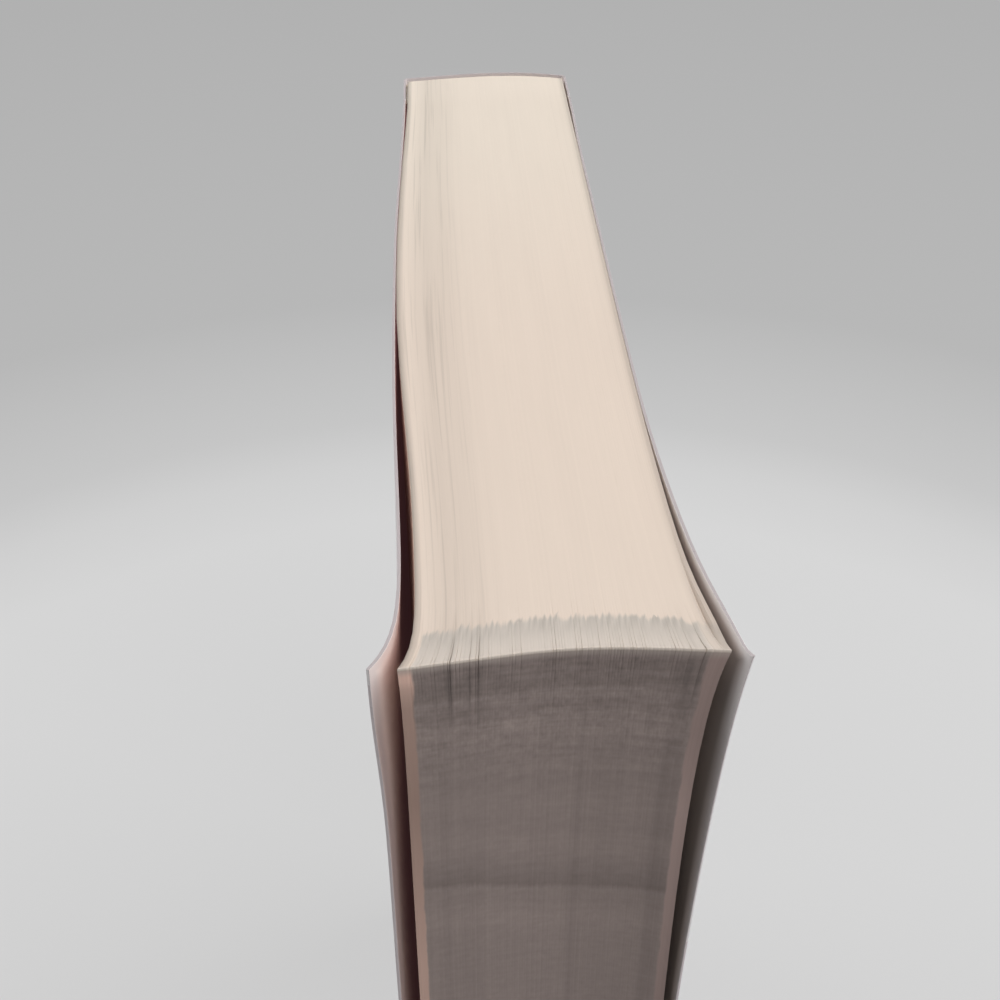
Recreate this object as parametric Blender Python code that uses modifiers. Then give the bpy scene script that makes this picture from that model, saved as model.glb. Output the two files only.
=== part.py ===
# A thick comic-format paperback standing on its tail: the block of leaves, the glue on its
# spine, and the card cover, which is scored beside the spine so that its two boards open.
# Units are metres. +Z runs from tail to head, -Y is the fore edge, +Y the spine, -X the front.
# The origin is the middle of the block's tail. "In" is measured from the fore edge towards the
# spine, and "down" from the head towards the tail.

import math
from collections import namedtuple

import bmesh
import bpy
from mathutils import Vector

# The block of leaves
page_width = 0.127          # fore edge to spine, along the outermost leaves
page_height = 0.188
block_thickness = 0.0228
spine_round = 0.0016        # how far the middle leaves are shifted towards the spine
spine_cock = 0.4            # how much more the leaves near the back are shifted, as a share

# The cover and the glue that holds it
card_thickness = 0.0003
glue_thickness = 0.0005
seat_gap = 0.0003           # between pieces that are glued face to face
hinge_strip = 0.007         # glued border of the cover, from the spine's corner to the score
spine_fold_radius = 0.0005  # inside radius where the card turns round the spine's corners
score_gap = 0.0003          # the card that the score crushes away, between board and border
fold_clearance = 0.0003     # left between a board folded right back and its glued border

# How reading has bent the leaves near the head of the fore edge
lean_in = 0.004             # the lean is strongest this far in
lean_spread = 0.0295
lean_down = 0.018
first_lean = 0.00117        # towards +X, at the first leaf
last_lean = 0.00043
first_fan = 0.00100         # outward, at the first leaf's corner
first_fan_in = 0.0022
first_fan_down = 0.020
last_fan = 0.00168
last_fan_in = 0.0093
last_fan_down = 0.0121
last_tip = 0.00049          # further outward, at the very corner of the last leaves
tip_reach = 0.0027
last_pull = 0.0008          # how far the fanned last leaves draw back from the fore edge
pull_in = 0.0030
fan_power = 3.0             # the outer leaves fan far more than the inner ones

# How the boards stand off the leaves
front_bulge = 0.00080
front_curl = 0.00062
front_curl_in = 0.0048
front_curl_power = 1.3
front_bow = 0.00038
front_bow_down = 0.0015
front_bow_spread = 0.0100
back_bulge = 0.00023
back_curl = 0.00025
back_curl_in = 0.0082
back_curl_power = 0.8
back_bow = 0.00103
back_bow_down = 0.0071
back_bow_spread = 0.0327
bulge_run = 0.050           # the bulge grows over this length from the hinge

# Mesh density. The stations gather at the head and the fore edge, where the leaves are bent.
bent_in = 0.045             # the bent stretches, from the fore edge and from the head
bent_down = 0.060
leaf_steps = 16             # across the thickness
bent_in_steps = 12
bent_down_steps = 11
rest_in_steps = 7
rest_down_steps = 3
crowding = 1.9              # how strongly the stations gather
fold_steps = 4
cleft_steps = 7
cut_tolerance = 1e-7
smooth_angle = math.radians(35)

half_block = block_thickness / 2
fore_y = -page_width / 2
spine_y = page_width / 2
score_y = spine_y - hinge_strip
card_inside = half_block + seat_gap
card_outside = card_inside + card_thickness
hinge_x = card_outside + fold_clearance / 2

Side = namedtuple("Side", "out lean fan fan_in fan_down"
                          " bulge curl curl_in curl_power bow bow_down bow_spread")
front = Side(-1, first_lean, first_fan, first_fan_in, first_fan_down,
             front_bulge, front_curl, front_curl_in, front_curl_power,
             front_bow, front_bow_down, front_bow_spread)
back = Side(1, last_lean, last_fan, last_fan_in, last_fan_down,
            back_bulge, back_curl, back_curl_in, back_curl_power,
            back_bow, back_bow_down, back_bow_spread)

# A cleft is where two bundles of leaves have parted. "under" is the paper outside it, "gap" its
# greatest width, and it closes over "reach_in" and "reach_down". A bowed one is shut at the fore
# edge and widest at its "reach_in", because the outer leaves arch over it.
Cleft = namedtuple("Cleft", "side under gap reach_in reach_down bowed")
cleft_hinge = 0.00008       # the paper beside a cleft that stretches to make room for it
clefts = [
    Cleft(front, 0.0036, 0.00025, 0.0030, 0.0060, False),
    Cleft(front, 0.0054, 0.00015, 0.0025, 0.0045, False),
    Cleft(back, 0.0003, 0.00060, 0.0046, 0.0070, True),
    Cleft(back, 0.0012, 0.00022, 0.0025, 0.0060, False),
]
cleft_lengths = 2.6         # how many times its reach a cleft is cut in and down
cleft_overcut = 0.0015      # how far its cutter stands out of the head and the fore edge
cleft_margin = 0.1          # share of the hinge paper that its cutter leaves on either side


def clamp01(value):
    return max(0.0, min(1.0, value))


def smooth_step(value):
    s = clamp01(value)
    return s * s * (3 - 2 * s)


def opening(cleft, inward, down):
    # Width of a cleft at a place on the leaf
    if cleft.bowed:
        s = max(0.0, inward) / cleft.reach_in
        across = (s * math.exp(1 - s)) ** 2
    else:
        across = math.exp(-max(0.0, inward) / cleft.reach_in)
    return cleft.gap * across * math.exp(-max(0.0, down) / cleft.reach_down)


def leaf_shift(x, inward, down):
    # How far the used leaf lies from its place in a squared-up block, along X
    share = x / half_block
    side = back if share > 0 else front
    last_share = (share + 1) / 2
    lean = front.lean * (1 - last_share) + back.lean * last_share
    lean *= math.exp(-((inward - lean_in) / lean_spread) ** 2 - max(0.0, down) / lean_down)
    fan = side.fan * abs(share) ** fan_power
    fan *= math.exp(-max(0.0, inward) / side.fan_in - max(0.0, down) / side.fan_down)
    parted = 0.0
    for cleft in clefts:
        if cleft.side is side:
            beyond = abs(x) - (half_block - cleft.under - cleft_hinge)
            parted += opening(cleft, inward, down) * clamp01(beyond / cleft_hinge)
    return lean + side.out * (fan + parted)


def tip_shift(x, inward, down):
    # How far the corner of the last leaves is turned out, along X
    reach = (max(0.0, inward) + max(0.0, down)) / tip_reach
    return last_tip * clamp01(x / half_block) ** fan_power * math.exp(-reach)


def draw_back(x, inward, down):
    # A fanned leaf is as long as before, so its fore edge draws back towards the spine
    fade = math.exp(-max(0.0, inward) / pull_in - max(0.0, down) / last_fan_down)
    return last_pull * clamp01(x / half_block) ** fan_power * fade


def rounding(x):
    # How far the leaf at x is shifted towards the spine
    share = x / half_block
    return spine_round * (1 - share ** 2) * (1 + spine_cock * share)


def lay_leaves(bm):
    # Bends a mesh that was modelled in the squared-up block into the used block's shape
    for vert in bm.verts:
        x, y, z = vert.co
        inward, down = y - fore_y, page_height - z
        along_x = leaf_shift(x, inward, down) + tip_shift(x, inward, down)
        vert.co = (x + along_x, y + rounding(x) + draw_back(x, inward, down), z)


def stand_off(side, inward, down):
    # Room between a board and the outermost leaf, on top of the glued seat's
    bulge = side.bulge * smooth_step((page_width - hinge_strip - inward) / bulge_run)
    bow = side.bow * math.exp(-((down - side.bow_down) / side.bow_spread) ** 2)
    return bulge + (side.curl + bow) * math.exp(-(inward / side.curl_in) ** side.curl_power)


def spine_back(x, offset):
    # Y of a curve that stands off the rounded spine of the block
    return spine_y + rounding(x) + offset


def crowded(length, steps):
    # Stations along a length, close together at its start, without the start itself
    return [length * (i / steps) ** crowding for i in range(1, steps + 1)]


def stations(length, bent_length, bent_steps, rest_steps):
    # Crowded stations along the bent stretch and even ones along the rest, with both ends
    bent_length = min(bent_length, length)
    rest = [bent_length + (length - bent_length) * i / rest_steps for i in range(1, rest_steps + 1)]
    return [0.0] + crowded(bent_length, bent_steps) + rest


def across_width(length):
    return stations(length, bent_in, bent_in_steps, rest_in_steps)


def down_height():
    return stations(page_height, bent_down, bent_down_steps, rest_down_steps)


def cut_across(bm, axis, places):
    # Adds an edge loop in each plane across an axis
    normal = Vector((0, 0, 0))
    normal[axis] = 1
    for place in places:
        geometry = bm.verts[:] + bm.edges[:] + bm.faces[:]
        bmesh.ops.bisect_plane(bm, geom=geometry, plane_co=normal * place, plane_no=normal,
                               dist=cut_tolerance)


def new_collection(name):
    collection = bpy.data.collections.new(name)
    bpy.context.scene.collection.children.link(collection)
    return collection


def new_material(name, color, roughness, coat=0.0):
    material = bpy.data.materials.new(name)
    material.use_nodes = True
    shader = material.node_tree.nodes["Principled BSDF"]
    shader.inputs["Base Color"].default_value = (*color, 1)
    shader.inputs["Roughness"].default_value = roughness
    shader.inputs["Metallic"].default_value = 0.0
    shader.inputs["Coat Weight"].default_value = coat
    return material


def new_object(name, bm, collection, material=None, origin=(0, 0, 0)):
    # Makes an object whose origin is at a point of the book, with its mesh where it was modelled
    bmesh.ops.translate(bm, verts=bm.verts, vec=-Vector(origin))
    mesh = bpy.data.meshes.new(name)
    bm.to_mesh(mesh)
    bm.free()
    mesh.shade_smooth()
    mesh.set_sharp_from_angle(angle=smooth_angle)
    book_object = bpy.data.objects.new(name, mesh)
    book_object.location = origin
    if material:
        mesh.materials.append(material)
    collection.objects.link(book_object)
    return book_object


def add_solidify(book_object, thickness):
    # Gives an open sheet its thickness, on the side that its faces look towards
    modifier = book_object.modifiers.new("Card", "SOLIDIFY")
    modifier.thickness = thickness
    modifier.offset = 1
    modifier.use_even_offset = True


def box_between(low, high):
    bm = bmesh.new()
    bmesh.ops.create_cube(bm, size=1)
    low, high = Vector(low), Vector(high)
    bmesh.ops.scale(bm, vec=high - low, verts=bm.verts)
    bmesh.ops.translate(bm, vec=(low + high) / 2, verts=bm.verts)
    return bm


def make_cleft_cutter(number, cleft, collection):
    # A thin slab between two leaves, which bends and widens as the leaves around it do
    outer = half_block - cleft.under - cleft_margin * cleft_hinge
    inner = half_block - cleft.under - (1 - cleft_margin) * cleft_hinge
    ends = sorted((cleft.side.out * inner, cleft.side.out * outer))
    cut_in = cleft_lengths * cleft.reach_in
    cut_down = cleft_lengths * cleft.reach_down
    bm = box_between((ends[0], fore_y - cleft_overcut, page_height - cut_down),
                     (ends[1], fore_y + cut_in, page_height + cleft_overcut))
    cut_across(bm, 1, [fore_y] + [fore_y + d for d in crowded(cut_in, cleft_steps)[:-1]])
    cut_across(bm, 2, [page_height] + [page_height - d for d in crowded(cut_down, cleft_steps)[:-1]])
    lay_leaves(bm)
    cutter = new_object(f"cleft_cutter_{number}", bm, collection)
    cutter.hide_render = True
    cutter.display_type = "WIRE"
    return cutter


def make_page_block(collection, cutters):
    bm = box_between((-half_block, fore_y, 0), (half_block, spine_y, page_height))
    across = [half_block * math.sin(math.pi * (i / leaf_steps - 0.5)) for i in range(1, leaf_steps)]
    for cleft in clefts:
        edge = half_block - cleft.under
        across += [cleft.side.out * edge, cleft.side.out * (edge - cleft_hinge)]
    cut_across(bm, 0, across)
    cut_across(bm, 1, [fore_y + d for d in across_width(page_width)[1:-1]])
    cut_across(bm, 2, [page_height - d for d in down_height()[1:-1]])
    lay_leaves(bm)
    paper = new_material("cream_paper", (0.76, 0.65, 0.56), 0.85)
    block = new_object("page_block", bm, collection, paper)
    for number, cleft in enumerate(clefts, 1):
        modifier = block.modifiers.new(f"Cleft {number}", "BOOLEAN")
        modifier.operation = "DIFFERENCE"
        modifier.object = make_cleft_cutter(number, cleft, cutters)
    return block


def extrude_profile(points):
    # Raises an open line of points in the XY plane from tail to head
    bm = bmesh.new()
    verts = [bm.verts.new((x, y, 0)) for x, y in points]
    edges = [bm.edges.new(pair) for pair in zip(verts, verts[1:])]
    raised = bmesh.ops.extrude_edge_only(bm, edges=edges)["geom"]
    top = [item for item in raised if isinstance(item, bmesh.types.BMVert)]
    bmesh.ops.translate(bm, vec=(0, 0, page_height), verts=top)
    return bm


def face_outwards(bm, outward):
    # Turns an open sheet's faces so that, taken together, they look in a direction
    bmesh.ops.recalc_face_normals(bm, faces=bm.faces)
    if sum(face.normal.dot(Vector(outward)) * face.calc_area() for face in bm.faces) < 0:
        bmesh.ops.reverse_faces(bm, faces=bm.faces)


def make_spine_glue(collection):
    # A film of hot glue on the block's rounded spine, between the folds of the card
    half_width = card_inside - spine_fold_radius
    places = [half_width * (2 * i / leaf_steps - 1) for i in range(leaf_steps + 1)]
    bm = extrude_profile([(x, spine_back(x, seat_gap)) for x in places])
    face_outwards(bm, (0, 1, 0))
    glue = new_material("hot_melt_glue", (0.62, 0.55, 0.42), 0.35)
    spine_glue = new_object("spine_glue", bm, collection, glue)
    add_solidify(spine_glue, glue_thickness)
    return spine_glue


def make_spine_cover(collection, card):
    # The spine of the cover with its two glued borders, from one score to the other
    back_offset = seat_gap + glue_thickness + seat_gap
    flat_half = card_inside - spine_fold_radius
    borders = []
    for side in (back, front):
        turn_y = spine_back(side.out * flat_half, back_offset) - spine_fold_radius
        border = [(side.out * card_inside, score_y + score_gap / 2)]
        for i in range(fold_steps + 1):
            angle = math.radians(90) * i / fold_steps
            border.append((side.out * (flat_half + spine_fold_radius * math.cos(angle)),
                           turn_y + spine_fold_radius * math.sin(angle)))
        borders.append(border)
    places = [flat_half * (1 - 2 * i / leaf_steps) for i in range(1, leaf_steps)]
    backbone = [(x, spine_back(x, back_offset)) for x in places]
    bm = extrude_profile(borders[0] + backbone + borders[1][::-1])
    face_outwards(bm, (0, 1, 0))
    spine_cover = new_object("spine_cover", bm, collection, card)
    add_solidify(spine_cover, card_thickness)
    return spine_cover


def make_board(name, side, collection, card):
    # One free board of the cover, hung on the score. The sheet modelled is its inner face.
    across = across_width(page_width - hinge_strip - score_gap / 2)
    downward = down_height()
    bm = bmesh.new()
    bmesh.ops.create_grid(bm, x_segments=len(across) - 1, y_segments=len(downward) - 1, size=0.5)
    for vert in bm.verts:
        inward = across[round((vert.co.x + 0.5) * (len(across) - 1))]
        down = downward[round((vert.co.y + 0.5) * (len(downward) - 1))]
        shift = leaf_shift(side.out * half_block, inward, down)
        x = side.out * (card_inside + stand_off(side, inward, down)) + shift
        vert.co = (x, fore_y + inward, page_height - down)
    face_outwards(bm, (side.out, 0, 0))
    board = new_object(name, bm, collection, card, origin=(side.out * hinge_x, score_y, 0))
    add_solidify(board, card_thickness)
    return board


def main():
    for old in list(bpy.data.objects):
        bpy.data.objects.remove(old, do_unlink=True)
    book = new_collection("paperback_book")
    cutters = new_collection("cutters")
    card = new_material("laminated_card", (0.80, 0.74, 0.74), 0.35, coat=0.4)
    make_page_block(book, cutters)
    make_spine_glue(book)
    make_spine_cover(book, card)
    make_board("front_cover", front, book, card)
    make_board("back_cover", back, book, card.copy())


main()
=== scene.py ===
import bisect
import math
import random

import bmesh
import bpy
from mathutils import Matrix, Vector, noise


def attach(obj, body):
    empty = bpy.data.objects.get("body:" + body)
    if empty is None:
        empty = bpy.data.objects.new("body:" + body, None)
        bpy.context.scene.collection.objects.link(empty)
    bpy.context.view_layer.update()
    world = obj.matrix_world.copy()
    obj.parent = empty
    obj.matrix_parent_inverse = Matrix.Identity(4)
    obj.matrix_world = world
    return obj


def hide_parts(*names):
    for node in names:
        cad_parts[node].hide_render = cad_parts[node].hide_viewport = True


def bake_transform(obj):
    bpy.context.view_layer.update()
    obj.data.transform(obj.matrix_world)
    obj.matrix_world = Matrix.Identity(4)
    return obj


# A thick paperback that stands on its tail, seen from above its fore edge. Metres, +Z to the head,
# -Y the fore edge, -X the front board. "In" runs from the fore edge, "down" from the head.

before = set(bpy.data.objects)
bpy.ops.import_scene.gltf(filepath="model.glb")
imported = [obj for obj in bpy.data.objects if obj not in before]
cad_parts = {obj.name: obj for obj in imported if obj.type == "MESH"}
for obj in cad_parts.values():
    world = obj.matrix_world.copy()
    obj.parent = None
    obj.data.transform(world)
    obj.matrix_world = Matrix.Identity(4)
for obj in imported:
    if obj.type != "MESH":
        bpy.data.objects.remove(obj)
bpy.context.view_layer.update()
print("frame: " + ", ".join(sorted(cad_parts)))

viewpoint = {
    "place": (-0.00732, -0.14466, 0.26271),
    "tiltDown": 0.62885,
    "turnRight": 0.04423,
    "roll": -0.00524,
    "lens": 51.75,
    "sensor": 36.0,
}


def makeCamera():
    tilt, turn, roll = viewpoint["tiltDown"], viewpoint["turnRight"], viewpoint["roll"]
    level = math.cos(tilt)
    ahead = Vector((math.sin(turn) * level, math.cos(turn) * level, -math.sin(tilt)))
    levelRight = Vector((math.cos(turn), -math.sin(turn), 0))
    levelUp = levelRight.cross(ahead)
    right = math.cos(roll) * levelRight + math.sin(roll) * levelUp
    up = math.cos(roll) * levelUp - math.sin(roll) * levelRight
    camera = bpy.data.objects.new("camera", bpy.data.cameras.new("camera"))
    camera.data.lens = viewpoint["lens"]
    camera.data.sensor_width = viewpoint["sensor"]
    camera.data.clip_start = 0.005
    turned = Matrix((right, up, -ahead)).transposed().to_4x4()
    camera.matrix_world = Matrix.Translation(viewpoint["place"]) @ turned
    bpy.context.scene.collection.objects.link(camera)
    bpy.context.scene.camera = camera
    bpy.context.scene.view_settings.view_transform = "Standard"


makeCamera()
print("camera placed")

# The book's sizes and the way use has bent it, as in the part's own source
book = {
    "width": 0.127,
    "height": 0.188,
    "thickness": 0.0228,
    "spineRound": 0.0016,
    "spineCock": 0.4,
    "card": 0.0003,
    "glue": 0.0005,
    "gap": 0.0003,
    "hingeStrip": 0.007,
    "foldRadius": 0.0005,
    "scoreGap": 0.0003,
    "leanIn": 0.004,          # where the block leans most, and how far that reaches in and down
    "leanSpread": 0.0295,
    "leanDown": 0.018,
    "fanPower": 3.0,          # how much the fanning keeps to the outer leaves
    "lastTip": 0.00049,       # how far the last leaves' corner stands out and is pulled in
    "tipReach": 0.0027,
    "lastPull": 0.0008,
    "pullIn": 0.0030,
    "bulgeRun": 0.050,        # the way from the score over which a board's bulge rises
    "touch": 0.00006,         # the room left where leaves and a board lie together
    "partIn": 0.1195,         # where they part again, before the score
    "partRun": 0.020,
    "cleftHinge": 0.00008,    # the width of block that a cleft opens in
    "cleftSpread": 0.0010,    # the leaves beside a cleft that share in its opening
    "cleftSharp": 0.05,       # the part of the opening that the cleft keeps to itself at the head
    "cleftClose": 0.0030,     # how far down it keeps that
}
# Each side's leaves lean and fan out, its board bulges, curls and bows, and where the two lie
# together either the leaves give way (1) or the board does (0)
frontSide = {
    "out": -1, "body": "front_board",
    "lean": 0.00117, "fan": 0.00100, "fanIn": 0.0022, "fanDown": 0.020,
    "bulge": 0.00080, "curl": 0.00062, "curlIn": 0.0048, "curlPower": 1.3,
    "bow": 0.00050, "bowDown": 0.0040, "bowSpread": 0.0090,
    "closeIn": 0.020, "closeRun": 0.044, "leavesGive": 1.0,
}
backSide = {
    "out": 1, "body": "back_board",
    "lean": 0.00043, "fan": 0.00168, "fanIn": 0.0093, "fanDown": 0.0121,
    "bulge": 0.00023, "curl": 0.00025, "curlIn": 0.0064, "curlPower": 0.58,
    "bow": 0.00128, "bowDown": 0.0071, "bowSpread": 0.0327,
    "closeIn": 0.008, "closeRun": 0.030, "leavesGive": 0.0,
}
# The partings between bundles of leaves: how far under the outermost leaf, how wide, how far they reach
clefts = [
    {"side": frontSide, "bowed": False,
     "under": 0.0033, "gap": 0.00025, "reachIn": 0.0030, "reachDown": 0.0060},
    {"side": frontSide, "bowed": False,
     "under": 0.0052, "gap": 0.00015, "reachIn": 0.0025, "reachDown": 0.0045},
    {"side": backSide, "bowed": True,
     "under": 0.0003, "gap": 0.00045, "reachIn": 0.0046, "reachDown": 0.0070},
    {"side": backSide, "bowed": False,
     "under": 0.0012, "gap": 0.00022, "reachIn": 0.0025, "reachDown": 0.0060},
]
halfBlock = book["thickness"] / 2
foreY = -book["width"] / 2
spineY = book["width"] / 2
scoreY = spineY - book["hingeStrip"]
borderEdge = scoreY + book["scoreGap"] / 2
boardEdge = scoreY - book["scoreGap"] / 2
cardInside = halfBlock + book["gap"]
spineRoom = book["gap"] + book["glue"] + book["gap"]    # from the leaves' backs to the card of the spine
heightMm, foreMm, spineMm = book["height"] * 1000, foreY * 1000, spineY * 1000


def clamp01(value):
    return max(0.0, min(1.0, value))


def smoothStep(value):
    s = clamp01(value)
    return s * s * (3 - 2 * s)


def cleftShare(cleft, inward, down):
    # How open a cleft is at a place on the leaf, as a share of its greatest width
    if cleft["bowed"]:
        s = max(0.0, inward) / cleft["reachIn"]
        across = (s * math.exp(1 - s)) ** 2
    else:
        across = math.exp(-max(0.0, inward) / cleft["reachIn"])
    return across * math.exp(-max(0.0, down) / cleft["reachDown"])


def leafShift(x, inward, down):
    # How far a leaf lies sideways of its place in the squared-up block
    share = x / halfBlock
    side = backSide if share > 0 else frontSide
    lastShare = (share + 1) / 2
    lean = frontSide["lean"] * (1 - lastShare) + backSide["lean"] * lastShare
    fromLean = (inward - book["leanIn"]) / book["leanSpread"]
    leanFade = math.exp(-fromLean ** 2 - max(0.0, down) / book["leanDown"])
    fanFade = math.exp(-max(0.0, inward) / side["fanIn"] - max(0.0, down) / side["fanDown"])
    outward = side["fan"] * abs(share) ** book["fanPower"] * fanFade
    for cleft in clefts:
        if cleft["side"] is side:
            beyond = abs(x) - (halfBlock - cleft["under"] - book["cleftHinge"])
            parted = clamp01(beyond / book["cleftHinge"])
            if not cleft["bowed"]:
                sharp = book["cleftSharp"] * math.exp(-max(0.0, down) / book["cleftClose"])
                parted = sharp * parted + (1 - sharp) * clamp01(beyond / book["cleftSpread"] + 0.5)
            outward += cleft["gap"] * cleftShare(cleft, inward, down) * parted
    return lean * leanFade + side["out"] * outward


def bentLeaf(x, inward, down):
    # Where a place of the squared-up block lies in the used one
    lastShare = clamp01(x / halfBlock) ** book["fanPower"]
    reach = (max(0.0, inward) + max(0.0, down)) / book["tipReach"]
    pullFade = math.exp(-max(0.0, inward) / book["pullIn"] - max(0.0, down) / backSide["fanDown"])
    side = backSide if x > 0 else frontSide
    spread = abs(x / halfBlock) ** book["fanPower"]
    given = side["out"] * side["leavesGive"] * spread * closing(side, inward, down)
    return Vector((
        x + leafShift(x, inward, down) + given + book["lastTip"] * lastShare * math.exp(-reach),
        foreY + inward + rounding(x) + book["lastPull"] * lastShare * pullFade,
        book["height"] - down,
    ))


def rounding(x):
    # How far the block's round back stands behind its corners
    share = x / halfBlock
    return book["spineRound"] * (1 - share ** 2) * (1 + book["spineCock"] * share)


def standOff(side, inward, down):
    # Room between a board and the outermost leaf
    bulge = side["bulge"] * smoothStep((book["width"] - book["hingeStrip"] - inward) / book["bulgeRun"])
    bow = side["bow"] * math.exp(-((down - side["bowDown"]) / side["bowSpread"]) ** 2)
    return bulge + (side["curl"] + bow) * math.exp(-(inward / side["curlIn"]) ** side["curlPower"])


def closing(side, inward, down):
    # How much of that room closes away from the fore edge, where leaves and board lie together
    together = smoothStep((inward - side["closeIn"]) / side["closeRun"])
    together *= smoothStep((book["partIn"] - inward) / book["partRun"])
    return together * (book["gap"] + standOff(side, inward, down) - book["touch"])


def crowded(length, steps):
    # Places along a length that crowd towards its start
    return [length * (i / steps) ** 1.9 for i in range(1, steps + 1)]


def evenly(start, end, steps):
    return [start + (end - start) * i / steps for i in range(1, steps + 1)]


def cutAcross(bm, axis, places):
    # An edge loop in each plane across an axis
    normal = Vector((0, 0, 0))
    normal[axis] = 1
    for place in places:
        geometry = bm.verts[:] + bm.edges[:] + bm.faces[:]
        bmesh.ops.bisect_plane(bm, geom=geometry, plane_co=normal * place, plane_no=normal, dist=1e-7)


def keepPlaces(bm):
    # Remembers where each point lies at rest, in millimetres, for the material's pattern
    layer = bm.verts.layers.float_vector.new("restPlace")
    for vert in bm.verts:
        vert[layer] = vert.co * 1000


def thickened(bm, thickness, outward):
    # Turns a sheet into a card: its faces become the inner side and a copy the outer side
    bmesh.ops.recalc_face_normals(bm, faces=bm.faces)
    if sum(face.normal.dot(Vector(outward)) * face.calc_area() for face in bm.faces) < 0:
        bmesh.ops.reverse_faces(bm, faces=bm.faces)
    bm.normal_update()
    inside = bm.faces[:]
    raised = bmesh.ops.extrude_face_region(bm, geom=inside, use_keep_orig=True)["geom"]
    outerVerts = [item for item in raised if isinstance(item, bmesh.types.BMVert)]
    outerFaces = [item for item in raised if isinstance(item, bmesh.types.BMFace)]
    normals = {vert: Vector() for vert in outerVerts}
    for face in outerFaces:
        for vert in face.verts:
            normals[vert] += face.normal * face.calc_area()
    for vert in outerVerts:
        vert.co += normals[vert].normalized() * thickness
    bmesh.ops.recalc_face_normals(bm, faces=bm.faces)


def softenRims(bm, amount, keepSharp=None):
    # A small rounding along the cut edges of a card
    bm.normal_update()
    rims = []
    for edge in bm.edges:
        if len(edge.link_faces) == 2 and edge.calc_face_angle() > math.radians(60):
            if keepSharp is None or not all(keepSharp(vert.co) for vert in edge.verts):
                rims.append(edge)
    bmesh.ops.bevel(bm, geom=rims, offset=amount, offset_type="OFFSET", segments=2, profile=0.5,
                    affect="EDGES", material=-1)


def makePiece(name, bm, materials):
    mesh = bpy.data.meshes.new(name)
    bm.to_mesh(mesh)
    bm.free()
    for material in materials:
        mesh.materials.append(material)
    mesh.shade_smooth()
    mesh.set_sharp_from_angle(angle=math.radians(35))
    piece = bpy.data.objects.new(name, mesh)
    bpy.context.scene.collection.objects.link(piece)
    print(f"{name}: {sum(len(p.vertices) - 2 for p in mesh.polygons)} triangles")
    return piece


class Signal:
    # A socket of a material, so that sums on it can be written out
    def __init__(self, recipe, socket):
        self.recipe = recipe
        self.socket = socket

    def __add__(self, other):
        return self.recipe.sum("ADD", self, other)

    def __radd__(self, other):
        return self.recipe.sum("ADD", other, self)

    def __sub__(self, other):
        return self.recipe.sum("SUBTRACT", self, other)

    def __rsub__(self, other):
        return self.recipe.sum("SUBTRACT", other, self)

    def __mul__(self, other):
        return self.recipe.sum("MULTIPLY", self, other)

    def __rmul__(self, other):
        return self.recipe.sum("MULTIPLY", other, self)

    def __truediv__(self, other):
        return self.recipe.sum("DIVIDE", self, other)


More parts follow.
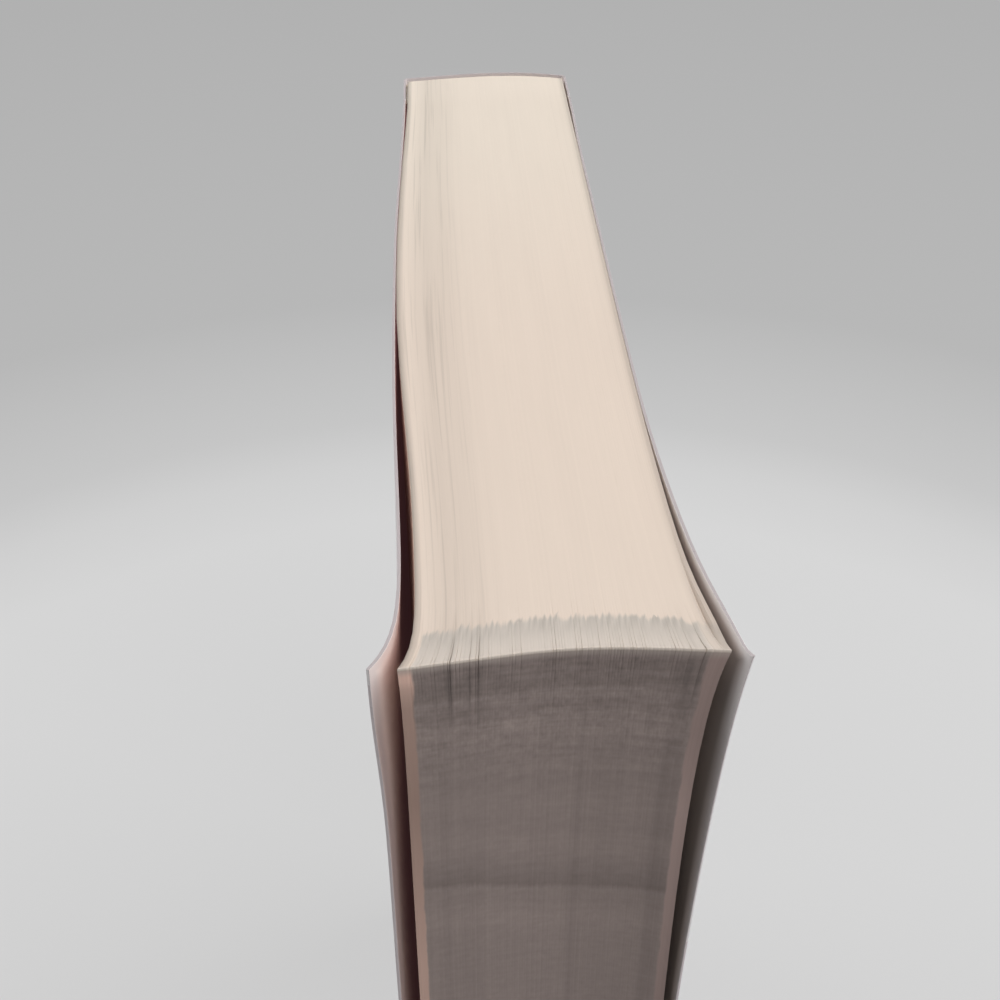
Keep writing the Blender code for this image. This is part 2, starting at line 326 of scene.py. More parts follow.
class Recipe:
    # The nodes of one material, or of the world
    def __init__(self, owner, shader="Principled BSDF", output="Material Output"):
        self.material = owner
        owner.use_nodes = True
        self.tree = owner.node_tree
        self.shader = self.tree.nodes[shader]
        self.output = self.tree.nodes[output]

    def feed(self, socket, value):
        if isinstance(value, Signal):
            self.tree.links.new(value.socket, socket)
        elif isinstance(value, tuple) and socket.type == "RGBA":
            socket.default_value = (*value[:3], 1)
        else:
            socket.default_value = value

    def add(self, kind, settings=None, inputs=None, output=0):
        node = self.tree.nodes.new(kind)
        for key, value in (settings or {}).items():
            if key == "stops":
                elements = node.color_ramp.elements
                while len(elements) < len(value):
                    elements.new(0.5)
                for element, (position, shade) in zip(elements, value):
                    element.position = position
                    element.color = (shade, shade, shade, 1)
            else:
                setattr(node, key, value)
        for key, value in (inputs or {}).items():
            self.feed(node.inputs[key], value)
        return Signal(self, node.outputs[output])

    def sum(self, operation, first, second):
        return self.add("ShaderNodeMath", {"operation": operation}, {0: first, 1: second})

    def single(self, operation, value):
        return self.add("ShaderNodeMath", {"operation": operation}, {0: value})

    def step(self, value, low, high):
        # 0 below low, 1 above high, smooth between
        return self.add("ShaderNodeMapRange", {"interpolation_type": "SMOOTHSTEP"},
                        {"Value": value, "From Min": low, "From Max": high})

    def mix(self, factor, first, second):
        return self.add("ShaderNodeMix", {"data_type": "RGBA"}, {0: factor, 6: first, 7: second}, 2)

    def shade(self, colour, amount):
        # A colour made lighter or darker by a factor
        grey = self.vector(amount, amount, amount)
        return self.add("ShaderNodeMix", {"data_type": "RGBA", "blend_type": "MULTIPLY"},
                        {0: 1.0, 6: colour, 7: grey}, 2)

    def vector(self, x, y, z):
        return self.add("ShaderNodeCombineXYZ", None, {0: x, 1: y, 2: z})

    def place(self, attribute):
        # The three numbers of a piece's own attribute, and the vector itself
        vector = self.add("ShaderNodeAttribute", {"attribute_name": attribute}, None, "Vector")
        split = self.add("ShaderNodeSeparateXYZ", None, {0: vector})
        node = split.socket.node
        return [Signal(self, node.outputs[i]) for i in range(3)] + [vector]

    def grain(self, vector, scale, detail=2.0, roughness=0.5):
        return self.add("ShaderNodeTexNoise", None,
                        {"Vector": vector, "Scale": scale, "Detail": detail, "Roughness": roughness}, "Fac")

    def chance(self, x, y):
        # A fixed random number from 0 to 1 for each pair of whole numbers
        return self.add("ShaderNodeTexWhiteNoise", {"noise_dimensions": "2D"},
                        {"Vector": self.vector(x, y, 0.0)}, "Value")

    def ramp(self, value, stops, reach=1.0, top=1.0):
        # Levels along a length, both in their own units; a ramp itself goes from 0 to 1
        scaled = [(place / reach, level / top) for place, level in stops]
        share = value if reach == 1.0 else value / reach
        levels = self.add("ShaderNodeValToRGB", {"stops": scaled}, {0: share})
        return levels if top == 1.0 else levels * top

    def looking(self):
        # 1 for what the camera sees straight, mirrored or through glass
        straight, mirrored, through = [self.add("ShaderNodeLightPath", None, None, f"Is {kind} Ray")
                                       for kind in ("Camera", "Glossy", "Transmission")]
        return self.sum("MAXIMUM", straight, self.sum("MAXIMUM", mirrored, through))

    def bump(self, height, strength, distance):
        return self.add("ShaderNodeBump", None,
                        {"Height": height, "Strength": strength, "Distance": distance})

    def finish(self, colour, roughness, normal=None, **fixed):
        self.feed(self.shader.inputs["Base Color"], colour)
        self.feed(self.shader.inputs["Roughness"], roughness)
        if normal:
            self.feed(self.shader.inputs["Normal"], normal)
        for key, value in fixed.items():
            self.feed(self.shader.inputs[key.replace("_", " ")], value)
        return self.material


# The block of leaves
leaves = {
    "count": 100,
    "seed": 11,
    "uneven": 0.12,           # how much the leaves differ in thickness
    "groove": 0.000003,       # depth of the line between two leaves
    "shoulder": 0.000030,     # half the width of that line
    "slip": 0.000004,         # how far single leaves stand proud of each other
    "bundleSlip": 0.000022,   # the same for bundles of leaves
    "cornerRadius": 0.00012,
    "bentIn": 0.045,          # the used corner, where the rows of faces crowd
    "bentDown": 0.060,
    "cleftIn": 0.00014,       # how deep an open cleft runs in and down at its corner
    "cleftDown": 0.00018,
    "cleftRun": 0.0040,
    "bowDeep": 0.00025,       # the same under the bowed outermost leaf
    "parting": 0.000008,      # widest small parting between two leaves, then its depth in and down
    "partingIn": 0.0005,
    "partingDown": 0.0007,
    "partingReach": 0.0022,
    "partingMost": 0.10,      # how far most leaves part, as a share of that
    "smallClefts": {-0.0091: 0.08, -0.0068: 0.12, 0.0094: 0.08},
}


def leafColumns():
    # The lines across the block: each groove between two leaves with its two shoulders
    chance = random.Random(leaves["seed"])
    widths = [1 + leaves["uneven"] * chance.uniform(-1, 1) for _ in range(leaves["count"])]
    scale = book["thickness"] / sum(widths)
    joins = [-halfBlock]
    for width in widths:
        joins.append(joins[-1] + width * scale)
    openJoins = {}
    for cleft in clefts:
        centre = cleft["side"]["out"] * (halfBlock - cleft["under"] - book["cleftHinge"] / 2)
        nearest = min(range(1, leaves["count"]), key=lambda k: abs(joins[k] - centre))
        joins[nearest] = centre
        openJoins[nearest] = cleft
    small = {}
    for k in range(1, leaves["count"]):
        small[k] = leaves["partingMost"] * chance.random() ** 3
    for centre, amount in leaves["smallClefts"].items():
        small[min(range(1, leaves["count"]), key=lambda k: abs(joins[k] - centre))] = amount
    columns = [{"x": -halfBlock, "leaf": 0, "kind": "face", "join": 0}]
    for k in range(1, leaves["count"]):
        reach = book["cleftHinge"] / 2 if k in openJoins else leaves["shoulder"]
        before, after = joins[k] - joins[k - 1], joins[k + 1] - joins[k]
        for toward, width in ((-1, before), (0, 1), (1, after)):
            columns.append({"x": joins[k] + toward * reach, "leaf": k + toward * reach / width, "join": k,
                            "kind": "shoulder" if toward else "groove", "toward": toward})
    columns.append({"x": halfBlock, "leaf": leaves["count"], "kind": "face", "join": leaves["count"]})
    slips = [leaves["slip"] * chance.uniform(0, 1) for _ in range(leaves["count"])]
    return columns, openJoins, small, slips


def leafSlip(leaf, along, slips):
    # How far a leaf is set back from the trimmed face, varying slowly along it
    bundle = noise.noise(Vector((leaf * 0.23, along * 14, 3.1))) * 0.5 + 0.5
    ripple = noise.noise(Vector((leaf * 2.7, along * 60, 7.7))) * 0.5 + 0.5
    return slips[leaf] * (0.85 + 0.3 * ripple) + leaves["bundleSlip"] * bundle


def makePageBlock(materials):
    columns, openJoins, smallPartings, slips = leafColumns()
    places = [column["x"] for column in columns]
    bm = bmesh.new()
    bmesh.ops.create_cube(bm, size=1)
    bmesh.ops.scale(bm, vec=(book["thickness"], book["width"], book["height"]), verts=bm.verts)
    bmesh.ops.translate(bm, vec=(0, 0, book["height"] / 2), verts=bm.verts)
    cutAcross(bm, 0, places[1:-1])
    corner = leaves["cornerRadius"]
    bentIn, bentDown = leaves["bentIn"], leaves["bentDown"]
    inRows = [corner] + crowded(bentIn, 14) + evenly(bentIn, book["width"] - corner, 8)
    downRows = [corner] + crowded(bentDown, 15) + evenly(bentDown, book["height"] - corner, 8)
    cutAcross(bm, 1, [foreY + row for row in inRows])
    cutAcross(bm, 2, [book["height"] - row for row in downRows])
    layer = bm.verts.layers.float_vector.new("leafPlace")
    lastLeaf = leaves["count"] - 1
    for vert in bm.verts:
        column = columns[bisect.bisect_left(places, vert.co.x - 1e-7)]
        inward, down = vert.co.y - foreY, book["height"] - vert.co.z
        onFore, onSpine = inward < 1e-6, inward > book["width"] - 1e-6
        onHead, onTail = down < 1e-6, down > book["height"] - 1e-6
        intoY = onFore - onSpine      # the way into the paper, along Y and down
        intoDown = onHead - onTail
        leaf = min(lastLeaf, int(column["leaf"])) if column["kind"] != "groove" else column["join"]
        along = down if intoY else inward
        setBack = leafSlip(leaf, along, slips)
        if column["kind"] == "groove":
            setBack = max(setBack, leafSlip(leaf - 1, along, slips)) + leaves["groove"]
        rounded = 0.3 * corner if intoY and intoDown else 0.0
        x = column["x"]
        inward += intoY * (setBack + rounded)
        down += intoDown * (setBack + rounded)
        if column["kind"] != "face" and (intoY or intoDown):
            k = column["join"]
            fromHead = min(down, book["height"] - down)
            fade = math.exp(-(inward + fromHead) / leaves["partingReach"])
            if k in openJoins and column["kind"] == "groove":
                depth = cleftShare(openJoins[k], inward, down)
                if openJoins[k]["bowed"]:
                    down += leaves["bowDeep"] * depth
                else:
                    depth *= math.exp(-(inward + down) / leaves["cleftRun"])
                    inward += leaves["cleftIn"] * depth
                    down += leaves["cleftDown"] * depth
            elif k not in openJoins and column["kind"] == "groove":
                nearEnd = 1 if down < book["height"] / 2 else -1
                inward += leaves["partingIn"] * smallPartings[k] * fade
                down += nearEnd * leaves["partingDown"] * smallPartings[k] * fade
            elif k not in openJoins:
                x += column["toward"] * leaves["parting"] * smallPartings[k] * fade
        vert[layer] = (column["leaf"], inward * 1000, down * 1000)
        vert.co = bentLeaf(x, inward, down)
    for face in bm.faces:
        leafNumbers = [vert[layer][0] for vert in face.verts]
        outermost = max(leafNumbers) == 0 or min(leafNumbers) == leaves["count"]
        face.material_index = 1 if outermost else 0
    return makePiece("pageBlock", bm, materials)


# The card of the cover. Inside, its colour goes from the rim's at the fore edge to the deep one over
# the millimetres of "turn", the rim's fades downwards over those of "fades", and the deep one darkens
# to the share "lower": painted light near the fore edge and the head, painted shade further in and lower
# down, where board and leaves close into a slot. The emission colour is a faint painted glow, stronger near
# the head.
card = {
    "blush": (0.800, 0.735, 0.740),
    "worn": (0.880, 0.855, 0.850),
    "core": (0.700, 0.630, 0.640),
    "headCore": (0.470, 0.420, 0.425),
    "rimRow": 0.0004,         # a row of faces along the cut edges
    "darkens": (2.0, 34.0),
    "frontInside": {
        "rim": (0.980, 0.900, 0.850), "rimLow": (0.740, 0.580, 0.535), "fades": (1.0, 9.0),
        "deep": (0.920, 0.760, 0.700), "lower": 0.66, "turn": (0.3, 2.4), "headTurn": 8.0,
        "paintedGlow": (0.013, 0.006, 0.007), "glowAtHead": 3.0,
    },
    "backInside": {
        "rim": (0.990, 0.950, 0.930), "rimLow": (0.620, 0.580, 0.570), "fades": (3.5, 12.5),
        "deep": (0.340, 0.310, 0.303), "lower": 0.65, "turn": (0.3, 1.5), "headTurn": 0.85,
        "paintedGlow": (0.004, 0.003, 0.003), "glowAtHead": 3.0,
    },
    "spineInside": {
        "rim": (0.780, 0.715, 0.735), "rimLow": (0.780, 0.715, 0.735), "fades": (1.0, 9.0),
        "deep": (0.780, 0.715, 0.735), "lower": 1.0, "turn": (0.3, 2.4), "headTurn": 8.0,
        "paintedGlow": (0.004, 0.003, 0.003), "glowAtHead": 0.0,
    },
}

# The boards, scored and blended to the glued borders
boards = {
    "bentIn": 0.045,
    "bentDown": 0.060,
    "nearScore": 0.0012,      # a strip of close rows before the score
    "scoreRows": 6,
    "scoreDent": 0.00007,
    "scoreSpread": 0.00045,
    "rimRound": 0.00006,
}


def scoreDent(y):
    return boards["scoreDent"] * math.exp(-((y - scoreY) / boards["scoreSpread"]) ** 2)


def makeBoard(name, node, side, materials):
    bentIn, bentDown = boards["bentIn"], boards["bentDown"]
    boardWidth, bordered = boardEdge - foreY, borderEdge - foreY
    across = [0.0] + crowded(bentIn, 18) + evenly(bentIn, boardWidth - boards["nearScore"], 10)
    across += evenly(boardWidth - boards["nearScore"], boardWidth, 4)
    across += evenly(boardWidth, bordered, boards["scoreRows"])
    downward = [0.0] + crowded(bentDown, 20) + evenly(bentDown, book["height"] - card["rimRow"], 12)
    downward.append(book["height"])
    bm = bmesh.new()
    bmesh.ops.create_grid(bm, x_segments=len(across) - 1, y_segments=len(downward) - 1, size=0.5)
    for vert in bm.verts:
        inward = across[round((vert.co.x + 0.5) * (len(across) - 1))]
        down = downward[round((vert.co.y + 0.5) * (len(downward) - 1))]
        closed = (1 - side["leavesGive"]) * closing(side, inward, down)
        away = cardInside + standOff(side, inward, down) - closed - scoreDent(foreY + inward)
        x = side["out"] * away + leafShift(side["out"] * halfBlock, inward, down)
        vert.co = (x, foreY + inward, book["height"] - down)
    thickened(bm, book["card"], (side["out"], 0, 0))
    softenRims(bm, boards["rimRound"], lambda co: co.y > borderEdge - 1e-5)
    finishCard(bm, lambda co: Vector((side["out"], 0, 0)))
    board = makePiece(name, bm, materials)
    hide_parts(node)
    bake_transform(board)


def finishCard(bm, outwardAt):
    # Laminate outside, bare card inside, and the white core along the cut rims
    bm.normal_update()
    for face in bm.faces:
        facing = face.normal.dot(outwardAt(face.calc_center_median()))
        face.material_index = 0 if facing > 0.5 else 1 if facing < -0.5 else 2
    keepPlaces(bm)


# The spine of the cover with its two glued borders
spine = {
    "foldSteps": 6,
    "backSteps": 28,
    "rows": 16,
    "scoreSteps": (0, 0.0003, 0.0007, 0.0012),
    "turning": 0.0012,        # how far before the spine the card counts as turning
}


def spineLine(offset, foldRadius, endY, sideX):
    # From one border's edge round the spine to the other, seen from the head
    flatHalf = sideX - foldRadius
    ends = []
    for out in (1, -1):
        turnY = spineY + rounding(out * flatHalf) + offset - foldRadius
        line = [(out * (sideX - scoreDent(endY + step)), endY + step) for step in spine["scoreSteps"]]
        line += [(out * sideX, y) for y in evenly(endY + spine["scoreSteps"][-1], turnY - 0.0002, 4)]
        for i in range(spine["foldSteps"] + 1):
            angle = math.radians(90) * i / spine["foldSteps"]
            across, behind = foldRadius * math.cos(angle), foldRadius * math.sin(angle)
            line.append((out * (flatHalf + across), turnY + behind))
        ends.append(line)
    places = [flatHalf * (1 - 2 * i / spine["backSteps"]) for i in range(1, spine["backSteps"])]
    backbone = [(x, spineY + rounding(x) + offset) for x in places]
    return ends[0] + backbone + ends[1][::-1]


def openLine(bm, line, height):
    verts = [bm.verts.new((x, y, height)) for x, y in line]
    return [bm.edges.new(pair) for pair in zip(verts, verts[1:])]


def raised(bm, geometry, rise):
    # Moves what an extrusion made straight up
    moved = [item for item in geometry if isinstance(item, bmesh.types.BMVert)]
    bmesh.ops.translate(bm, vec=(0, 0, rise), verts=moved)


def spineOutward(co):
    # The way out of the cover: sideways on the borders, backwards on the spine, turning at the folds
    if co.y < spineY - spine["turning"]:
        return Vector((math.copysign(1, co.x), 0, 0))
    if abs(co.x) > cardInside - book["foldRadius"]:
        return Vector((math.copysign(1, co.x), 1, 0)).normalized()
    return Vector((0, 1, 0))


def makeSpineCover(materials):
    bm = bmesh.new()
    line = openLine(bm, spineLine(spineRoom, book["foldRadius"], borderEdge, cardInside), 0)
    raised(bm, bmesh.ops.extrude_edge_only(bm, edges=line)["geom"], book["height"])
    rimRow = card["rimRow"]
    cutAcross(bm, 2, [rimRow] + evenly(rimRow, book["height"] - rimRow, spine["rows"]))
    thickened(bm, book["card"], (0, 1, 0))
    softenRims(bm, boards["rimRound"], lambda co: co.y < borderEdge + 1e-5)
    finishCard(bm, spineOutward)
    cover = makePiece("spineCover", bm, materials)
    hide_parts("spine_cover")
    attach(cover, "book")


# The glue between the block and the cover
glue = {
    "clearance": 0.00002,
    "inset": 0.0004,          # how far the film stops short of the borders' edges
    "lowest": 0.0009,         # how far it may stop short of the head and the tail
    "endRow": 0.0008,
    "wander": 0.0006,         # how much its ends run up and down, and how finely
    "runs": 260,
    "thin": (0.62, 0.54, 0.40),
    "thick": (0.72, 0.66, 0.54),
}


def makeGlue(material):
    bm = bmesh.new()
    clear = glue["clearance"]
    edge = borderEdge + glue["inset"]
    outer = spineLine(spineRoom - clear, book["foldRadius"], edge, cardInside - clear)
    inner = spineLine(clear, clear, edge, halfBlock + clear)
    low, high = glue["lowest"], book["height"] - glue["lowest"]
    bmesh.ops.bridge_loops(bm, edges=openLine(bm, outer, low) + openLine(bm, inner, low))
    extruded = bmesh.ops.extrude_face_region(bm, geom=bm.faces[:], use_keep_orig=True)["geom"]
    raised(bm, extruded, high - low)
    cutAcross(bm, 2, [low + glue["endRow"], (low + high) / 2, high - glue["endRow"]])
    for vert in bm.verts:
        if vert.co.z < low + 1e-6 or vert.co.z > high - 1e-6:
            end = 1 if vert.co.z > book["height"] / 2 else -1
            run = noise.noise(Vector((vert.co.x * glue["runs"], vert.co.y * glue["runs"], end)))
            vert.co.z += end * glue["wander"] * run
    bmesh.ops.recalc_face_normals(bm, faces=bm.faces)
    keepPlaces(bm)
    film = makePiece("spineGlue", bm, [material])
    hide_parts("spine_glue")
    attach(film, "book")


# Paper and print, as they show on the trimmed edges, with painted shade beside the clefts and on the head's
# outermost leaves, and painted light and shade down the bare strips. The lists give levels along a length:
# in shares of the block's thickness from bandShift to lanes, then in millimetres down from the head.
paper = {
    "cream": (0.745, 0.628, 0.535),
    "farCream": (0.765, 0.672, 0.575),
    "bandColour": (0.590, 0.525, 0.468),
    "bandDeep": (0.525, 0.472, 0.422),
    "bandDepth": 3.9,
    "bandTeeth": 0.42,
    "printed": (0.380, 0.308, 0.285),
    "firstLeaves": (0.535, 0.365, 0.305),
    "lastLeaves": (0.470, 0.350, 0.320),
    "rim": (0.800, 0.700, 0.615),
    "underRim": (0.520, 0.440, 0.395),
    "page": (0.765, 0.665, 0.575),
    "browned": (0.680, 0.550, 0.450),
    "firstPrinted": 3.6,
    "lastPrinted": 96.0,
    # how far down the fore edge's bands lie, in millimetres
    "bandShift": [(0.0, 0.0), (0.20, 0.45), (0.45, 1.90), (0.70, 2.35), (1.0, 2.0)],
    # painted shade beside the clefts, near the head
    "creaseShadeLevels": [
        (0.0, 1.0), (0.088, 1.0), (0.098, 0.90), (0.108, 1.0), (0.132, 1.0), (0.140, 0.74),
        (0.151, 0.74), (0.159, 1.0), (0.190, 1.0), (0.202, 0.80), (0.212, 1.0), (0.216, 1.0),
        (0.224, 0.82), (0.234, 0.82), (0.242, 1.0), (0.908, 1.0), (0.916, 0.86), (0.926, 0.86),
        (0.932, 1.0), (0.936, 1.0), (0.947, 0.80), (0.958, 1.0), (1.0, 1.0),
    ],
    "creamLanes": [
        (0.0, 1.0), (0.04, 1.0), (0.08, 0.94), (0.12, 0.89), (0.20, 0.92), (0.34, 0.99),
        (0.90, 1.0), (1.0, 0.96),
    ],
    # painted shade on the head's outermost leaves, beside the slots to the boards
    "headEdgeShade": [
        (0.0, 0.42), (0.008, 0.66), (0.028, 1.0), (0.958, 1.0), (0.975, 0.94), (0.988, 0.82),
        (1.0, 0.76),
    ],
    "lanes": [
        (0.0, 0.96), (0.08, 0.98), (0.12, 0.92), (0.22, 0.97), (0.34, 1.02), (0.585, 1.02),
        (0.605, 0.94), (0.64, 0.99), (0.87, 1.00), (0.905, 0.88), (0.94, 0.92), (1.0, 1.0),
    ],
    # painted light and shade down the bare strips
    "firstStripLight": [
        (0.0, 1.75), (1.3, 1.70), (2.4, 1.22), (4.2, 0.94), (15.0, 0.80), (24.0, 1.0),
        (36.0, 1.25), (188.0, 1.25),
    ],
    "lastStripLight": [
        (0.0, 0.85), (8.4, 0.86), (17.4, 1.10), (30.0, 1.0), (45.0, 0.86), (188.0, 0.9),
    ],
    "panels": [
        (0.0, 0.86), (1.5, 0.80), (3.6, 0.78), (4.7, 1.04), (5.6, 0.82), (7.2, 1.02), (9.5, 1.00),
        (11.2, 0.93), (12.2, 1.02), (13.2, 0.94), (16.0, 1.03), (18.0, 0.98), (20.5, 1.05),
        (22.3, 0.98), (24.2, 0.87), (25.7, 0.78), (26.2, 1.02), (27.6, 0.97), (30.5, 1.08),
        (32.8, 1.00), (40.0, 0.98), (62.0, 1.01), (63.4, 0.95), (80.0, 0.99), (98.0, 1.02),
        (99.5, 0.96), (124.0, 1.00), (126.5, 0.94), (152.0, 0.99), (183.0, 1.00), (184.6, 0.86),
        (188.0, 0.90),
    ],
}


def paperEdges():
    r = Recipe(bpy.data.materials.new("trimmedLeaves"))
    leaf, inward, down, _ = r.place("leafPlace")
    leafNumber = r.single("FLOOR", leaf)
    own = r.chance(leafNumber, 1.0)
    share = leaf / leaves["count"]
    fromEnd = r.sum("MINIMUM", down, heightMm - down)
    foreEdge = r.step(fromEnd - inward, 0.10, 0.32)
    # Cream paper of the head and the tail, with a few darker streaks along the first leaves
    alongLeaf = r.vector(leaf * 0.75, inward * 0.03, down * 0.03)
    streak = r.step(r.grain(alongLeaf, 1.0, 3.0), 0.50, 0.70) * (1.0 - r.step(leaf, 8.0, 38.0))
    softTone = r.grain(r.vector(leaf * 0.12, inward * 0.05, down * 0.05), 1.0)
    tone = 0.965 + 0.018 * own + 0.045 * softTone - 0.15 * streak
    creamTone = r.ramp(share, paper["creamLanes"])
    farther = r.mix(r.step(inward, 40.0, 115.0), paper["cream"], paper["farCream"])
    cream = r.shade(farther, tone * creamTone)
    # The band that bleeds onto the head, with its teeth
    ragged = r.grain(r.vector(leaf * 0.6, inward * 0.4, down * 0.4), 1.0, 3.0) - 0.5
    tooth = leaf * 0.34 - inward * 0.30 + 3.2 * r.grain(r.vector(leaf * 0.19, 5.0, 0.0), 1.0)
    toothOwn = r.chance(r.single("FLOOR", tooth), 5.0)
    toothShape = r.single("ABSOLUTE", r.single("FRACT", tooth) - 0.5) * 2.0
    reach = paper["bandDepth"] + paper["bandTeeth"] * (toothShape + toothOwn - 1.0)
    reach = reach + 0.12 * (own - 0.5) + 0.8 * ragged
    fromFore = 1.0 - r.step(inward - reach, -0.50, 0.25)
    frayed = leaf + 2.2 * (r.grain(r.vector(leaf * 0.25, down * 0.30, 1.0), 1.0, 3.0) - 0.5)
    firstBare = 1.0 - r.step(frayed, paper["firstPrinted"] - 0.5, paper["firstPrinted"] + 0.5)
    lastBare = r.step(frayed, paper["lastPrinted"] - 0.5, paper["lastPrinted"] + 0.5)
    printedLeaf = 1.0 - firstBare - lastBare
    deepening = r.step(inward, 0.4, 2.6)
    teeth = r.step(inward - reach, -2.4, -0.7) * toothShape * (0.5 + toothOwn)
    bandTone = 1.04 + 0.03 * own - 0.15 * teeth + 0.10 * ragged
    band = r.shade(r.mix(deepening, paper["bandColour"], paper["bandDeep"]), bandTone)
    head = r.mix(fromFore * (0.92 * printedLeaf + 0.40 * lastBare), cream, band)
    # Painted shade: the leaves beside the clefts darker near the head.
    creaseShade = 1.0 - r.ramp(share, paper["creaseShadeLevels"])
    headCreaseShade = 1.0 - 0.55 * (1.0 - r.step(inward, 1.0, 7.0)) * creaseShade
    # Painted shade: the head's outermost leaves darker towards the boards.
    head = r.shade(head, r.ramp(share, paper["headEdgeShade"]) * headCreaseShade)
    # The fore edge: bled panels in faint bands and lanes, each leaf with its own tone
    jitter = 0.22 * (r.chance(leafNumber, 9.0) - 0.5)
    shift = r.ramp(share, paper["bandShift"], top=3.0) * r.step(down, 8.0, 22.0)
    panelTone = r.ramp(down + jitter - shift, paper["panels"], heightMm, 1.1)
    laneTone = r.ramp(share, paper["lanes"], top=1.1)
    streaks = r.grain(r.vector(leaf * 0.9, down * 0.05, 2.0), 1.0, 3.0)
    lanes = r.grain(r.vector(leaf * 0.16, down * 0.03, 8.0), 1.0, 2.0)
    mottle = r.grain(r.vector(leaf * 0.22, down * 0.95, 4.0), 1.0, 2.0) - 0.5
    speckle = r.grain(r.vector(leaf * 1.0, down * 1.5, 6.0), 1.0, 2.0) - 0.5
    dashes = r.grain(r.vector(leaf * 0.07, down * 1.7, 9.0), 1.0, 2.0) - 0.5
    calmer = 1.0 - 0.65 * r.step(fromEnd, 7.0, 16.0)
    leafTone = 0.945 + 0.05 * own + 0.16 * (streaks - 0.5) + 0.12 * (lanes - 0.5)
    leafTone = leafTone + (0.42 * mottle + 0.40 * speckle + 0.50 * dashes) * calmer
    # Painted shade: the fore edge darker beside the clefts, near the head.
    foreCreaseShade = 1.0 - 1.3 * (1.0 - r.step(down, 3.0, 7.5)) * creaseShade
    printed = r.shade(paper["printed"], panelTone * laneTone * leafTone * foreCreaseShade)
    atBack = r.step(leaf, 40.0, 60.0)
    bare = r.mix(atBack, paper["firstLeaves"], paper["lastLeaves"])
    # Painted light and shade: the bare strips lighter and darker down the fore edge.
    firstLight = r.ramp(down, paper["firstStripLight"], heightMm, 1.8)
    lastLight = r.ramp(down, paper["lastStripLight"], heightMm, 1.8)
    bareToneAndLight = (0.96 + 0.08 * own) * (firstLight + (lastLight - firstLight) * atBack)
    fore = r.mix(printedLeaf, r.shade(bare, bareToneAndLight), printed)
    worn = 1.0 - r.step(fromEnd - inward, 0.20, 1.10)
    fore = r.mix(worn * 0.70, fore, paper["underRim"])
    colour = r.mix(foreEdge, head, fore)
    rim = r.step(fromEnd - inward, -0.30, -0.02) * (1.0 - r.step(fromEnd - inward, 0.12, 0.30))
    colour = r.mix(rim * (1.0 - r.step(inward, 0.2, 0.6)) * 0.65, colour, paper["rim"])
    fibre = r.grain(r.vector(leaf * 1.6, inward * 0.22, down * 0.22), 1.0, 3.0, 0.6)
    return r.finish(colour, 0.86 + 0.08 * fibre, r.bump(fibre, 0.06, 0.00001), IOR=1.45)


def pageFace():
    r = Recipe(bpy.data.materials.new("outermostPage"))
    leaf, inward, down, _ = r.place("leafPlace")
    flat = r.vector(inward, down, leaf)
    fibre = r.grain(flat, 2.4, 4.0, 0.65)
    cloud = r.grain(flat, 0.035, 3.0)
    fromEdge = r.sum("MINIMUM", inward, r.sum("MINIMUM", down, heightMm - down))
    browned = (1.0 - r.step(fromEdge, 0.0, 9.0)) * (0.5 + 0.5 * cloud)
    colour = r.mix(browned * 0.45, paper["page"], paper["browned"])
    colour = r.shade(colour, 0.95 + 0.05 * fibre + 0.04 * cloud)
    return r.finish(colour, 0.84 + 0.08 * fibre, r.bump(fibre, 0.3, 0.00004), IOR=1.45)


def edgeDistance(r, y, z):
    # Millimetres from the nearest trimmed edge of the cover
    return r.sum("MINIMUM", y - foreMm, r.sum("MINIMUM", z, heightMm - z))


def laminatedCard():
    r = Recipe(bpy.data.materials.new("laminatedCard"))
    x, y, z, place = r.place("restPlace")
    cloud = r.grain(place, 0.028, 3.0)
    rubNoise = r.grain(place, 0.55, 4.0, 0.6)
    rub = 1.0 - r.step(edgeDistance(r, y, z) - 1.6 * (rubNoise - 0.35), 0.0, 0.75)
    onFold = r.step(y, spineMm - 0.4, spineMm + 0.1) * (1.0 - r.step(y, spineMm + 0.9, spineMm + 1.3))
    foldRun = r.grain(r.vector(x, y, z * 0.10), 0.9, 3.0)
    foldRub = onFold * r.step(r.single("ABSOLUTE", x), 11.1, 11.8)
    foldRub = foldRub * (0.25 + 0.6 * r.step(foldRun, 0.40, 0.66))
    scuffPlace = r.vector(x, y * 0.9 + z * 0.25, z * 0.07)
    scuffs = r.step(r.grain(scuffPlace, 1.6, 5.0, 0.7), 0.66, 0.74) * r.step(cloud, 0.45, 0.60)
    wear = r.sum("MAXIMUM", rub * 0.75, foldRub * 0.8)
    colour = r.mix(r.sum("MAXIMUM", wear, scuffs * 0.30), card["blush"], card["worn"])
    colour = r.shade(colour, 1.01 - 0.03 * cloud)
    peel = r.grain(place, 1.3, 2.0)
    roughness = 0.30 + 0.07 * cloud + 0.30 * wear + 0.14 * scuffs
    relief = peel + 0.5 * rubNoise - 0.8 * scuffs
    bump = r.bump(relief, 0.22, 0.00006)
    return r.finish(colour, roughness, bump, Coat_Weight=0.30, Coat_Roughness=0.22)


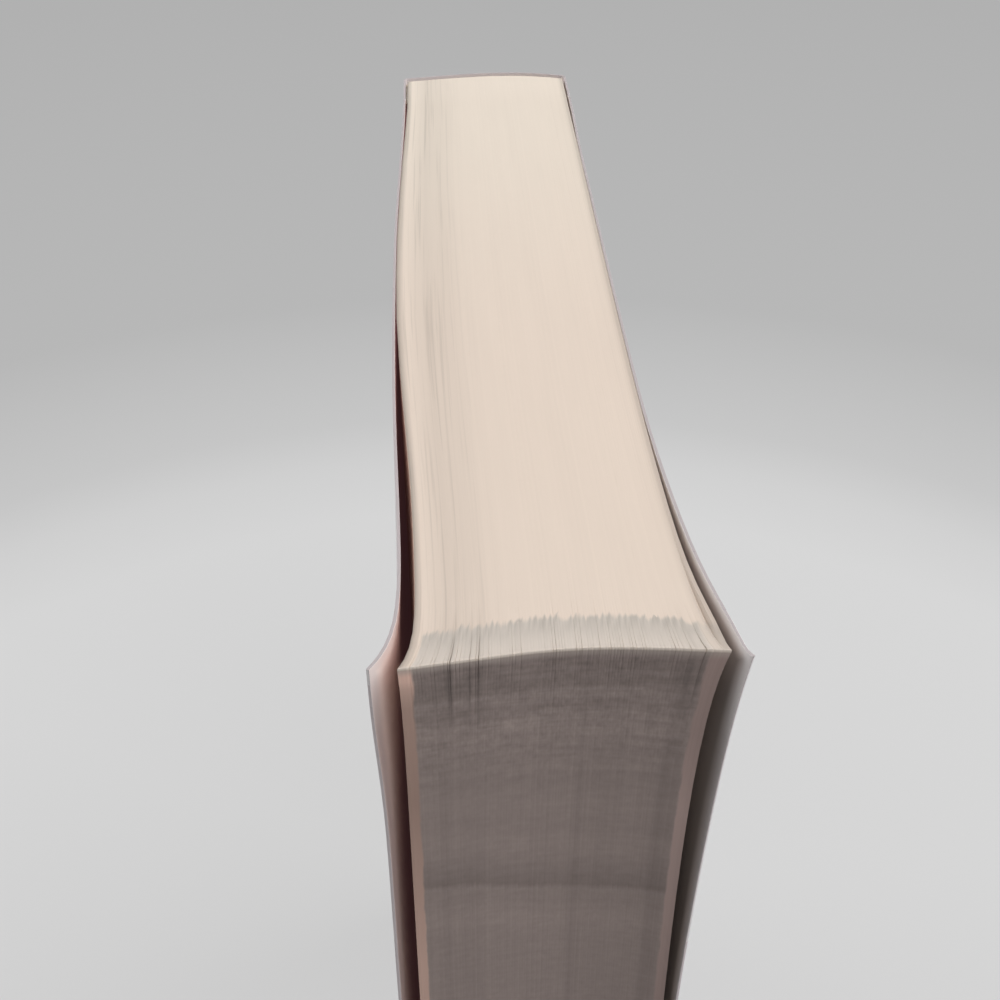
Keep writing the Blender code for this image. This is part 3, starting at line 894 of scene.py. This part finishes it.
def bareCard(name):
    r = Recipe(bpy.data.materials.new(name))
    inside = card[name]
    _, y, z, place = r.place("restPlace")
    fibre = r.grain(place, 2.2, 4.0, 0.65)
    cloud = r.grain(place, 0.05, 3.0)
    rub = 1.0 - r.step(edgeDistance(r, y, z) - 1.2 * cloud, 0.0, 1.1)
    down = heightMm - z
    # Painted light and shade: the rim's colour lighter at the fore edge and near the head and fading
    # downwards, the deep colour darker lower down.
    deep = r.shade(inside["deep"], 1.0 - (1.0 - inside["lower"]) * r.step(down, *card["darkens"]))
    rim = r.mix(r.step(down, *inside["fades"]), inside["rim"], inside["rimLow"])
    fromRim = r.sum("MINIMUM", y - foreMm, down * inside["headTurn"])
    colour = r.mix(r.step(fromRim, *inside["turn"]), rim, deep)
    shade = r.shade(colour, 0.93 + 0.06 * fibre + 0.08 * cloud)
    shade = r.mix(rub * 0.35, shade, card["headCore"])
    # Painted glow: a faint emission, stronger near the head.
    paintedGlow = r.shade(inside["paintedGlow"], 1.0 + inside["glowAtHead"] * (1.0 - r.step(down, 1.5, 6.0)))
    bump = r.bump(fibre, 0.25, 0.00004)
    return r.finish(shade, 0.62 + 0.12 * fibre, bump, Emission_Color=paintedGlow, Emission_Strength=1.0)


def cardCore():
    r = Recipe(bpy.data.materials.new("cardCore"))
    x, y, z, place = r.place("restPlace")
    layers = r.grain(r.vector(x * 9.0, y * 0.8, z * 0.8), 1.0, 3.0)
    nicks = r.step(r.grain(place, 1.1, 4.0, 0.7), 0.60, 0.72)
    onHead = r.step(z, heightMm - 0.30, heightMm - 0.10)
    colour = r.shade(r.mix(onHead, card["core"], card["headCore"]), 0.94 + 0.12 * layers - 0.16 * nicks)
    return r.finish(colour, 0.80 + 0.1 * layers, r.bump(layers, 0.3, 0.00003))


def hotGlue():
    r = Recipe(bpy.data.materials.new("bindingGlue"))
    x, y, z, place = r.place("restPlace")
    runs = r.grain(r.vector(x * 0.6, y * 0.6, z * 0.12), 1.0, 3.0)
    specks = r.grain(place, 3.0, 2.0)
    colour = r.mix(runs, glue["thin"], glue["thick"])
    return r.finish(colour, 0.30 + 0.25 * specks, r.bump(runs + 0.3 * specks, 0.4, 0.0002))


block = makePageBlock([paperEdges(), pageFace()])
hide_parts("page_block")
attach(block, "book")
outside, core = laminatedCard(), cardCore()
makeBoard("frontBoard", "front_cover", frontSide, [outside, bareCard("frontInside"), core])
makeBoard("backBoard", "back_cover", backSide, [outside, bareCard("backInside"), core])
makeSpineCover([outside, bareCard("spineInside"), core])
makeGlue(hotGlue())
print("book modelled")

# A plain pale floor that darkens a little with distance, and soft lamps
studio = {
    "floorSize": 6.0,
    "floor": 0.30,
    "floorSeen": [
        (0.0, 0.64), (0.070, 0.65), (0.160, 0.665), (0.21, 0.67), (0.24, 0.63), (0.265, 0.565),
        (0.35, 0.475), (0.75, 0.44), (1.0, 0.44),
    ],
    "shadowless": 0.78,       # the share of the floor's look that no shadow falls on, near and far
    "shadowEnds": (0.24, 0.60),
    "far": 0.440,
    "world": 0.10,
    "top": {"place": (0.0, 0.25, 1.30), "aim": (0, 0, 0.1), "size": 1.4, "power": 0.6},
    "key": {"place": (0.90, 0.10, 0.95), "aim": (0, 0, 0.15), "size": 0.9, "power": 8.3},
    "front": {"place": (0.38, -0.88, 1.00), "aim": (0, 0, 0.15), "size": 0.8, "power": 5.9},
    "left": {"place": (-1.1, 0.45, 0.75), "aim": (0, 0, 0.1), "size": 1.0, "power": 10},
    "right": {"place": (1.2, 0.55, 0.65), "aim": (0, 0, 0.1), "size": 1.0, "power": 1.0},
    "behind": {"place": (0.0, 1.4, 0.80), "aim": (0, 0, 0.1), "size": 1.0, "power": 6.0},
}


def makeFloor():
    bm = bmesh.new()
    bmesh.ops.create_grid(bm, x_segments=4, y_segments=4, size=studio["floorSize"] / 2)
    r = Recipe(bpy.data.materials.new("studioFloor"))
    place = r.add("ShaderNodeTexCoord", None, None, "Object")
    distance = r.add("ShaderNodeVectorMath", {"operation": "LENGTH"}, {0: place}, "Value")
    seen = r.ramp(distance, studio["floorSeen"])
    looking = r.looking()
    bounce = (studio["floor"],) * 3
    r.finish(r.mix(looking, bounce, seen), 0.9, Specular_IOR_Level=0.0)
    glow = r.add("ShaderNodeEmission", None, {"Color": seen, "Strength": 1.0})
    near = studio["shadowless"]
    glowing = (near + (1.0 - near) * r.step(distance, *studio["shadowEnds"])) * looking
    lit = Signal(r, r.shader.outputs[0])
    r.feed(r.output.inputs["Surface"], r.add("ShaderNodeMixShader", None, {0: glowing, 1: lit, 2: glow}))
    floor = makePiece("studioFloor", bm, [r.material])


def makeWorld():
    world = bpy.data.worlds.new("studio")
    bpy.context.scene.world = world
    r = Recipe(world, "Background", "World Output")
    light, far = (studio["world"],) * 3, (studio["far"],) * 3
    r.feed(r.shader.inputs["Color"], r.mix(r.looking(), light, far))
    r.feed(r.shader.inputs["Strength"], 1.0)


def makeLamp(name):
    lamp = studio[name]
    light = bpy.data.lights.new(name, "AREA")
    light.shape = "DISK"
    light.size = lamp["size"]
    light.energy = lamp["power"]
    holder = bpy.data.objects.new(name, light)
    holder.location = lamp["place"]
    aim = Vector(lamp["aim"]) - Vector(lamp["place"])
    holder.rotation_euler = aim.to_track_quat("-Z", "Y").to_euler()
    bpy.context.scene.collection.objects.link(holder)


makeFloor()
makeWorld()
for lampName in ("top", "key", "front", "left", "right", "behind"):
    makeLamp(lampName)
print("studio lit")
